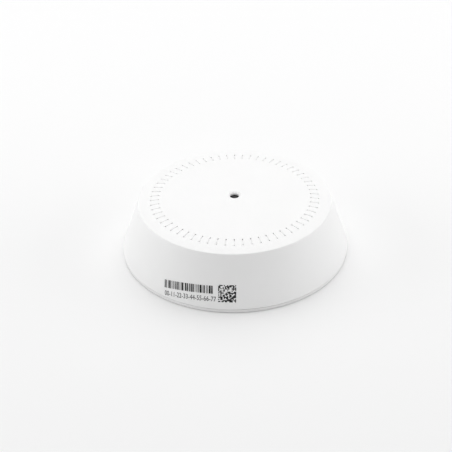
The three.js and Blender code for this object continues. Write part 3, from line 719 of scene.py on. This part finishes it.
def gussets():
    shape = bmesh.new()
    for angle in diagonals(GUSSET_COUNT):
        add_into(shape, gusset(angle))
    return shape


def gusset(angle):
    """A three-cornered rib across the corner between wall and face."""
    under = RIM_HEIGHT - WALL
    low = under - GUSSET_DROP
    inner = inner_wall_radius(under) - GUSSET_REACH
    shape = bmesh.new()
    on_face = Vector((inner, dome_height(inner) - WALL))
    on_wall_side = Vector((inner_wall_radius(low), low))
    toe = on_face.lerp(on_wall_side, -0.1)
    heel = on_face.lerp(on_wall_side, 1.1)
    corners = [(toe.x, TOP), toe, heel, (BASE_RADIUS, heel.y), (BASE_RADIUS, TOP)]
    face = shape.faces.new([shape.verts.new((x, -GUSSET_THICKNESS / 2, z)) for x, z in corners])
    grown = bmesh.ops.extrude_face_region(shape, geom=[face])["geom"]
    verts = [item for item in grown if isinstance(item, bmesh.types.BMVert)]
    bmesh.ops.translate(shape, vec=(0, GUSSET_THICKNESS, 0), verts=verts)
    bmesh.ops.recalc_face_normals(shape, faces=shape.faces)
    return turned(shape, angle)


def vent_hole(radius):
    """A cutter for one vent hole, flared where it breaks the face."""
    surface = dome_height(radius)
    shape = rod(VENT_HOLE_RADIUS, surface - 2 * WALL, surface, VENT_HOLE_SIDES)
    top = [vert for vert in shape.verts if vert.co.z > surface - WALL]
    bmesh.ops.translate(shape, vec=(0, 0, -VENT_HOLE_FLARE), verts=top)
    rim = [face for face in shape.faces if face.normal.z > 0.9]
    grown = bmesh.ops.extrude_face_region(shape, geom=rim)["geom"]
    lip = [item for item in grown if isinstance(item, bmesh.types.BMVert)]
    bmesh.ops.delete(shape, geom=rim, context="FACES")
    bmesh.ops.translate(shape, vec=(0, 0, 2 * VENT_HOLE_FLARE), verts=lip)
    spread = 1 + 2 * VENT_HOLE_FLARE / VENT_HOLE_RADIUS
    bmesh.ops.scale(shape, vec=(spread, spread, 1), verts=lip)
    bmesh.ops.translate(shape, vec=(radius, 0, 0), verts=shape.verts)
    return shape


def vent_angles():
    return [VENT_PHASE + index * math.tau / VENT_COUNT for index in range(VENT_COUNT)]


def vent_groove():
    """A cutter whose floor keeps its depth under the dome."""
    half = VENT_GROOVE_WIDTH / 2
    shape = box_shape((VENT_INNER, -half, TOP - WALL), (VENT_OUTER, half, TOP + WALL))
    for vert in shape.verts:
        if vert.co.z < TOP:
            vert.co.z = dome_height(vert.co.x) - VENT_GROOVE_DEPTH
    return shape


def vent_grooves():
    shape = bmesh.new()
    for angle in vent_angles():
        add_into(shape, turned(vent_groove(), angle))
    return shape


def vent_holes():
    shape = bmesh.new()
    for angle in vent_angles():
        add_into(shape, turned(vent_hole(VENT_INNER), angle), turned(vent_hole(VENT_OUTER), angle))
    return shape


def boss_holes():
    shape = bmesh.new()
    for angle in diagonals(4):
        place = polar(BOSS_CIRCLE, angle)
        add_into(shape, rod(BOSS_HOLE_RADIUS, 0, BOSS_HOLE_TOP, BOSS_HOLE_SIDES, place))
    return shape


def cover_shell():
    shell = spun(cover_outline())
    shell = joined(shell, under_the_skin(screw_bosses()), under_the_skin(gussets()))
    shell = cut_by(shell, vent_grooves(), vent_holes(), boss_holes())
    return finish_piece("cover_shell", shell, "housing", "shell", replaces=["top_cover"])


# Base tray

def tray_outline():
    rim = inner_wall_radius(LOCATING_RIM_TOP) - LOCATING_RIM_GAP
    return [
        (0, WELL_CEILING),
        (WELL_RADIUS, WELL_CEILING),
        (WELL_RADIUS, TRAY_UNDERSIDE),
        (FLANGE_RADIUS - FLANGE_CHAMFER, TRAY_UNDERSIDE),
        (FLANGE_RADIUS, TRAY_UNDERSIDE + FLANGE_CHAMFER),
        (FLANGE_RADIUS, FLANGE_TOP),
        (rim, FLANGE_TOP),
        (rim, LOCATING_RIM_TOP),
        (rim - LOCATING_RIM_WALL, LOCATING_RIM_TOP),
        (rim - LOCATING_RIM_WALL, FLANGE_TOP),
        (WELL_RADIUS + TRAY_WALL, FLANGE_TOP),
        (WELL_RADIUS + TRAY_WALL, WELL_TOP),
        (0, WELL_TOP),
    ]


def pocket(grow, low, high):
    return rounded_box(
        (POCKET_LOW.x - grow, POCKET_LOW.y - grow, low),
        (POCKET_HIGH.x + grow, POCKET_HIGH.y + grow, high),
        POCKET_ROUND + grow,
    )


def rods_on(circle, radius, low, high):
    return ring_of(diagonals(4), lambda: rod(radius, low, high, BOSS_SIDES, (circle, 0)))


def tray_rib():
    half = RIB_THICKNESS / 2
    outer = WELL_RADIUS + TRAY_WALL / 2
    return box_shape((RIB_INNER, -half, WELL_TOP - TRAY_WALL / 2), (outer, half, RIB_TOP))


def lug_slots(width, span, centre):
    low = WELL_CEILING - TRAY_WALL
    high = WELL_TOP + TRAY_WALL
    return ring_of(quarters(), lambda: band(LUG_CIRCLE, width, span, low, high, centre))


def tray_shell():
    inside = WELL_TOP - TRAY_WALL / 2
    in_flange = (TRAY_UNDERSIDE + FLANGE_TOP) / 2
    reach = LUG_SPAN + 2 * LUG_SLACK
    body = joined(
        spun(tray_outline()),
        pocket(POCKET_WALL, inside, POCKET_CEILING + POCKET_WALL),
        ring_of(diagonals(RIB_COUNT), tray_rib),
        rods_on(POST_CIRCLE, POST_RADIUS, inside, POST_TOP),
        rods_on(BOSS_CIRCLE, TRAY_BOSS_RADIUS, in_flange, TRAY_BOSS_TOP),
    )
    jack_window = box_shape(
        (POCKET_HIGH.x - POCKET_WALL, -JACK_WINDOW_HALF, JACK_WINDOW_BOTTOM),
        (POCKET_HIGH.x + 2 * POCKET_WALL, JACK_WINDOW_HALF, JACK_WINDOW_TOP),
    )
    reset_hole = rod_along_y(
        RESET_HOLE_RADIUS, POCKET_HIGH.y - POCKET_WALL, POCKET_HIGH.y + 2 * POCKET_WALL, RESET_X, RESET_Z
    )
    body = cut_by(
        body,
        pocket(0, -TRAY_WALL, POCKET_CEILING),
        jack_window,
        reset_hole,
        lug_slots(LUG_STEM + 2 * LUG_GAP, reach / 2 + TWIST, reach / 4),
        lug_slots(LUG_HEAD + 2 * LUG_GAP, reach, -TWIST / 2),
        rods_on(POST_CIRCLE, BOSS_HOLE_RADIUS, POST_HOLE_BOTTOM, POST_TOP + TRAY_WALL),
        rods_on(BOSS_CIRCLE, BOSS_HOLE_RADIUS, -TRAY_WALL, TRAY_BOSS_TOP + TRAY_WALL),
        rods_on(BOSS_CIRCLE, COUNTERBORE_RADIUS, -TRAY_WALL, COUNTERBORE_TOP),
    )
    body = ready_for_rounding(body)
    piece = finish_piece("tray_shell", body, "housing", "tray", replaces=["base_tray"])
    rounded_edges(piece, TRAY_EDGE, clamped=False)


# Ceiling bracket

def fixing_slots():
    head_span = FIXING_SPAN + (FIXING_HEAD_WIDTH - FIXING_WIDTH) / FIXING_CIRCLE
    bottom = PLATE_THICKNESS - FIXING_HEAD_DEPTH
    slots = ring_of(diagonals(4), lambda: band(
        FIXING_CIRCLE, FIXING_WIDTH, FIXING_SPAN, -PLATE_THICKNESS, 2 * PLATE_THICKNESS
    ))
    heads = ring_of(diagonals(4), lambda: band(
        FIXING_CIRCLE, FIXING_HEAD_WIDTH, head_span, bottom, 2 * PLATE_THICKNESS
    ))
    return slots, heads


def tongue_slits():
    """Cutters for the slit round the two sides and the tip of each tongue."""
    high = 2 * PLATE_THICKNESS
    tip = 2 * TONGUE_SLIT / TONGUE_CIRCLE
    span = TONGUE_SPAN + tip / 2
    around = ring_of(TONGUE_ANGLES, lambda: band(
        TONGUE_CIRCLE, TONGUE_WIDTH + 2 * TONGUE_SLIT, span, -high, high, tip / 4
    ))
    tongue = ring_of(TONGUE_ANGLES, lambda: band(
        TONGUE_CIRCLE, TONGUE_WIDTH, span, -2 * high, 2 * high, tip / 4 - tip
    ))
    return combined(around, tongue, "DIFFERENCE")


def lug():
    """A T of stem and head, its foot inside the plate."""
    section = [
        (LUG_CIRCLE - LUG_STEM / 2, PLATE_THICKNESS / 2),
        (LUG_CIRCLE + LUG_STEM / 2, PLATE_THICKNESS / 2),
        (LUG_CIRCLE + LUG_STEM / 2, LUG_HEAD_BOTTOM),
        (LUG_CIRCLE + LUG_HEAD / 2, LUG_HEAD_BOTTOM),
        (LUG_CIRCLE + LUG_HEAD / 2, LUG_HEAD_TOP),
        (LUG_CIRCLE - LUG_HEAD / 2, LUG_HEAD_TOP),
        (LUG_CIRCLE - LUG_HEAD / 2, LUG_HEAD_BOTTOM),
        (LUG_CIRCLE - LUG_STEM / 2, LUG_HEAD_BOTTOM),
    ]
    return swept(section, LUG_SPAN)


def tongue_bump():
    """A ridge near the tongue's tip, wide enough that the slits trim it."""
    centre = TONGUE_SPAN / 2 - TONGUE_BUMP_SPAN
    high = PLATE_THICKNESS + TONGUE_BUMP
    width = TONGUE_WIDTH + TONGUE_SLIT
    return band(TONGUE_CIRCLE, width, TONGUE_BUMP_SPAN, PLATE_THICKNESS / 2, high, centre)


def bracket_plate():
    body = joined(
        rod(PLATE_RADIUS, 0, PLATE_THICKNESS, DRUM_STEPS),
        ring_of(quarters(TWIST / 2), lug),
        ring_of(TONGUE_ANGLES, tongue_bump),
    )
    body = cut_by(
        body,
        rod(CABLE_HOLE_RADIUS, -PLATE_THICKNESS, 2 * PLATE_THICKNESS, DRUM_STEPS),
        *fixing_slots(),
        tongue_slits(),
    )
    body = ready_for_rounding(body)
    piece = finish_piece("bracket_plate", body, "bracket", "bracket", replaces=["ceiling_bracket"])
    rounded_edges(piece, PLATE_EDGE, clamped=False)


# Screws

def screw(length):
    """A pan head with a cross recess, its flat side at Z = 0 and its shank below."""
    body = spun([
        (0, -length),
        (SHANK_RADIUS, -length, 0.3 * MM),
        (SHANK_RADIUS, 0),
        (HEAD_RADIUS, 0, 0.1 * MM),
        (HEAD_RADIUS, HEAD_HEIGHT - HEAD_CROWN, 0.4 * MM),
        (HEAD_RADIUS - HEAD_CROWN, HEAD_HEIGHT, 0.3 * MM),
        (0, HEAD_HEIGHT),
    ], steps=SCREW_STEPS)
    low = HEAD_HEIGHT - RECESS_DEPTH
    half = RECESS_WIDTH / 2
    blade = ((-RECESS_REACH, -half, low), (RECESS_REACH, half, 2 * HEAD_HEIGHT))
    return cut_by(body, box_shape(*blade), turned(box_shape(*blade), math.pi / 2))


def screws():
    for index, angle in enumerate(diagonals(4), start=1):
        name = f"board_screw_{index}"
        low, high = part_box(name)
        shape = screw(high.z - low.z - HEAD_HEIGHT)
        place = polar(POST_CIRCLE, angle).to_3d() + Vector((0, 0, high.z - HEAD_HEIGHT))
        bmesh.ops.translate(shape, vec=place, verts=shape.verts)
        finish_piece(f"{name}_cut", shape, "housing", "screw_steel", replaces=[name])
        name = f"cover_screw_{index}"
        low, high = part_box(name)
        shape = screw(high.z - low.z - HEAD_HEIGHT)
        bmesh.ops.rotate(shape, cent=(0, 0, 0), matrix=Matrix.Rotation(math.pi, 3, "X"), verts=shape.verts)
        place = polar(BOSS_CIRCLE, angle).to_3d() + Vector((0, 0, low.z + HEAD_HEIGHT))
        bmesh.ops.translate(shape, vec=place, verts=shape.verts)
        finish_piece(f"{name}_cut", shape, "housing", "screw_steel", replaces=[name])


# Printed mark

def on_wall(across, up, lift):
    """A point of the flat mark, laid on the cone of the wall."""
    slant_to_middle = wall_radius(MARK_HEIGHT) / math.sin(WALL_SLOPE)
    turned_across = across * math.cos(MARK_TILT) - up * math.sin(MARK_TILT)
    turned_up = across * math.sin(MARK_TILT) + up * math.cos(MARK_TILT)
    slant = math.hypot(turned_across, slant_to_middle - turned_up)
    turn = math.atan2(turned_across, slant_to_middle - turned_up)
    azimuth = MARK_AZIMUTH + turn / math.sin(WALL_SLOPE)
    apex = MARK_HEIGHT + slant_to_middle * math.cos(WALL_SLOPE)
    radius = slant * math.sin(WALL_SLOPE) + lift * math.cos(WALL_SLOPE)
    height = apex - slant * math.cos(WALL_SLOPE) + lift * math.sin(WALL_SLOPE)
    return Vector((radius * math.sin(azimuth), -radius * math.cos(azimuth), height))


def laid_on_wall(shape):
    """Bends a flat shape (x across, y up, z out of the wall) onto the wall."""
    for vert in shape.verts:
        vert.co = on_wall(*vert.co)
    bmesh.ops.recalc_face_normals(shape, faces=shape.faces)
    return shape


def printed_bars():
    """Bars and gaps of one to four modules, drawn at random: they stand for no number."""
    draw = random.Random(7)
    shape = bmesh.new()
    across = BARS_LEFT
    while across < BARS_RIGHT - 4 * BAR_MODULE:
        width = draw.choice((1, 1, 2, 2, 3, 4)) * BAR_MODULE
        gap = draw.choice((1, 1, 1, 2, 2, 3)) * BAR_MODULE
        bar = box_shape((across, BARS_BOTTOM, -MARK_SINK), (across + width, BARS_TOP, MARK_LIFT))
        add_into(shape, bar)
        across += width + gap
    return finish_piece("printed_bars", laid_on_wall(shape), "housing", "black_plastic", material=INK)


def printed_matrix():
    """A square of cells drawn at random: it stands for nothing."""
    draw = random.Random(11)
    cell = MATRIX_SIZE / MATRIX_CELLS
    shape = bmesh.new()
    for row in range(MATRIX_CELLS):
        for column in range(MATRIX_CELLS):
            share = MATRIX_EDGE_SHARE if column == MATRIX_CELLS - 1 else MATRIX_SHARE
            if draw.random() < share:
                low = Vector((MATRIX_LEFT + column * cell, MATRIX_BOTTOM + row * cell, -MARK_SINK))
                high = Vector((low.x + cell, low.y + cell, MARK_LIFT))
                add_into(shape, box_shape(low, high))
    return finish_piece("printed_matrix", laid_on_wall(shape), "housing", "black_plastic", material=INK)


def printed_digits():
    """A row of plain counting digits in pairs."""
    curve = bpy.data.curves.new("digits", "FONT")
    curve.body = DIGITS
    curve.resolution_u = 3
    text = bpy.data.objects.new("digits", curve)
    bpy.context.collection.objects.link(text)
    graph = bpy.context.evaluated_depsgraph_get()
    mesh = bpy.data.meshes.new_from_object(text.evaluated_get(graph))
    bpy.data.objects.remove(text)
    bpy.data.curves.remove(curve)
    shape = bmesh.new()
    shape.from_mesh(mesh)
    bpy.data.meshes.remove(mesh)
    low = Vector((min(v.co.x for v in shape.verts), min(v.co.y for v in shape.verts), 0))
    high = Vector((max(v.co.x for v in shape.verts), max(v.co.y for v in shape.verts), 0))
    bmesh.ops.translate(shape, vec=-low, verts=shape.verts)
    width = (DIGITS_RIGHT - DIGITS_LEFT) / (high.x - low.x)
    height = DIGITS_HEIGHT / (high.y - low.y)
    bmesh.ops.scale(shape, vec=(width, height, 1), verts=shape.verts)
    bmesh.ops.translate(shape, vec=(DIGITS_LEFT, DIGITS_BOTTOM, -MARK_SINK), verts=shape.verts)
    made_flat(shape, math.radians(1))
    grown = bmesh.ops.extrude_face_region(shape, geom=list(shape.faces))["geom"]
    verts = [item for item in grown if isinstance(item, bmesh.types.BMVert)]
    bmesh.ops.translate(shape, vec=(0, 0, MARK_SINK + MARK_LIFT), verts=verts)
    return finish_piece("printed_digits", laid_on_wall(shape), "housing", "black_plastic", material=INK)


# CAD nodes with finished edges

def refined(node, body, slot, width):
    """A merged copy of a CAD node with flat faces made whole and its edges rounded."""
    shape = bmesh.new()
    shape.from_mesh(frame["nodes"][node].data)
    bmesh.ops.remove_doubles(shape, verts=shape.verts, dist=MERGE / 2)
    made_flat(shape, math.radians(0.3))
    piece = finish_piece(f"{node}_finished", shape, body, slot, replaces=[node])
    return rounded_edges(piece, width)


def light_pipe():
    """The stepped pipe under the window, turned smooth, with a flat lens whose edge is rounded."""
    low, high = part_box("light_pipe")
    flange_top = TOP - WALL - PIPE_GAP
    shape = spun([
        (0, low.z),
        (PIPE_FOOT_RADIUS, low.z, PIPE_ROUND),
        (PIPE_FOOT_RADIUS, flange_top - PIPE_FLANGE_HEIGHT),
        (PIPE_FLANGE_RADIUS, flange_top - PIPE_FLANGE_HEIGHT, 0.15 * MM),
        (PIPE_FLANGE_RADIUS, flange_top, 0.15 * MM),
        (WINDOW_RADIUS - PIPE_GAP, flange_top),
        (WINDOW_RADIUS - PIPE_GAP, high.z, PIPE_ROUND),
        (0, high.z),
    ], steps=PIPE_STEPS)
    finish_piece("light_pipe_turned", shape, "housing", "smoke", replaces=["light_pipe"])


def capacitors():
    """Cans with a rolled crimp and a scored end."""
    for name in ("bulk_capacitor_1", "bulk_capacitor_2"):
        low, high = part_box(name)
        radius = (high.x - low.x) / 2
        shape = spun([
            (0, low.z),
            (radius, low.z, CAN_ROUND),
            (radius, high.z - 2 * CRIMP, 0.3 * MM),
            (radius - CRIMP, high.z - 1.5 * CRIMP, 0.2 * MM),
            (radius, high.z - CRIMP, 0.2 * MM),
            (radius, high.z),
            (0, high.z),
        ], steps=CAN_STEPS)
        score = box_shape((-radius / 2, -SCORE / 2, low.z - MM), (radius / 2, SCORE / 2, low.z + SCORE))
        cross = box_shape((-SCORE / 2, -radius / 2, low.z - MM), (SCORE / 2, radius / 2, low.z + SCORE))
        shape = cut_by(shape, score, cross)
        bmesh.ops.translate(shape, vec=((low.x + high.x) / 2, (low.y + high.y) / 2, 0), verts=shape.verts)
        finish_piece(f"{name}_can", shape, "housing", "aluminium", replaces=[name])


def edges_of_nodes():
    """The pieces that keep their CAD form, with their edges rounded by what their making gives."""
    slots = {row["node"]: row["material_slot"] for row in frame["record"]["subparts"]}
    for node, width in EDGES.items():
        body = "reset" if node == "reset_button" else "housing"
        refined(node, body, slots[node], width)


def dress_nodes():
    """Every CAD node that stays gets the finish of its material slot."""
    slots = {row["node"]: row["material_slot"] for row in frame["record"]["subparts"]}
    for name, node in frame["nodes"].items():
        node.data.materials.clear()
        node.data.materials.append(FINISHES[slots[name]])


# Stage

def camera():
    data = bpy.data.cameras.new("camera")
    data.sensor_width = SENSOR
    data.lens = FOCAL_PIXELS / PICTURE * SENSOR
    data.shift_x = (PICTURE / 2 - AXIS_PIXEL.x) / PICTURE
    data.shift_y = (AXIS_PIXEL.y - PICTURE / 2) / PICTURE
    data.clip_start = 0.01
    data.clip_end = 50
    made = bpy.data.objects.new("camera", data)
    back = Vector((0, -math.cos(CAMERA_ELEVATION), math.sin(CAMERA_ELEVATION)))
    made.location = back * CAMERA_DISTANCE
    made.rotation_mode = "QUATERNION"
    roll = Matrix.Rotation(CAMERA_ROLL, 3, "Z").to_quaternion()
    made.rotation_quaternion = (-back).to_track_quat("-Z", "Y") @ roll
    bpy.context.collection.objects.link(made)
    bpy.context.scene.camera = made


def area_lamp(name, place, size, power, target=(0, 0, 0.02)):
    data = bpy.data.lights.new(name, "AREA")
    data.shape = "RECTANGLE"
    data.size, data.size_y = size
    data.energy = power
    lamp = bpy.data.objects.new(name, data)
    lamp.location = place
    lamp.rotation_mode = "QUATERNION"
    lamp.rotation_quaternion = (Vector(target) - Vector(place)).to_track_quat("-Z", "Y")
    bpy.context.collection.objects.link(lamp)


def floor():
    shape = bmesh.new()
    bmesh.ops.create_circle(shape, cap_ends=True, segments=FLOOR_SIDES, radius=FLOOR_RADIUS)
    mesh = bpy.data.meshes.new("studio_floor")
    shape.to_mesh(mesh)
    shape.free()
    made = bpy.data.objects.new("studio_floor", mesh)
    bpy.context.collection.objects.link(made)
    graph = Graph("studio_paper")
    graph.set(Base_Color=shade((0.903, 0.903, 0.903)), Roughness=0.9)
    mesh.materials.append(graph.material)
    made.location.z = -FLOOR_GAP


def world():
    made = bpy.data.worlds.new("studio")
    made.use_nodes = True
    background = made.node_tree.nodes["Background"]
    background.inputs["Color"].default_value = (1, 1, 1, 1)
    background.inputs["Strength"].default_value = 0.487
    bpy.context.scene.world = made


def studio():
    bpy.context.scene.view_settings.view_transform = "Standard"
    camera()
    floor()
    world()
    area_lamp("left_softbox", (-1.2, 0, 0.38), (1.0, 0.7), 4.1)
    area_lamp("right_softbox", (1.2, 0, 0.38), (1.0, 0.7), 4.0)
    area_lamp("top_softbox", (0, 0.2, 1.5), (1.7, 1.3), 7.0)
    area_lamp("back_softbox", (0, 1.0, 1.2), (1.7, 1.3), 7.8)


# Making

dress_nodes()
cover_shell()
tray_shell()
bracket_plate()
screws()
light_pipe()
capacitors()
edges_of_nodes()
printed_bars()
printed_matrix()
printed_digits()
studio()
